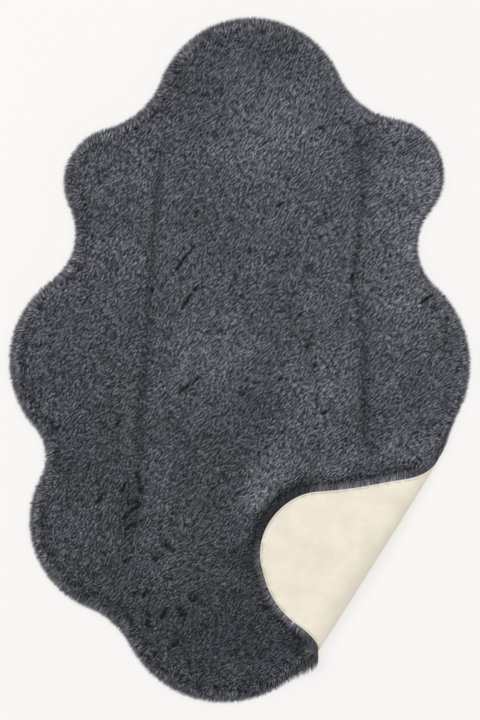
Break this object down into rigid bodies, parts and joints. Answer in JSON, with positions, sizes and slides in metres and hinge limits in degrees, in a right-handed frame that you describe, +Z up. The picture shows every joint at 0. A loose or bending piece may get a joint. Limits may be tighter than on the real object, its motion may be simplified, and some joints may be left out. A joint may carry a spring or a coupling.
{
  "type": "plush shag rug",
  "caption": "Deep-pile plush floor rug with a scalloped, cloud-shaped edge and a smooth suede backing, lying flat with one corner folded back over the pile.",
  "frame": {"origin": "the floor plane under the backing, below the middle of the rug's bounding box", "axes": "+Z up out of the pile, +Y along the rug's long side away from the folded corner, +X across it towards the folded corner"},
  "size_m": [0.8006, 1.189, 0.0759],
  "materials": {
    "plush": "matt, dense grey faux-fur pile about 16 mm deep",
    "suede": "matt, brushed cream suede cloth"
  },
  "bodies": {
    "root": {"fur": "plush", "backing": "suede"}
  },
  "joints": []
}
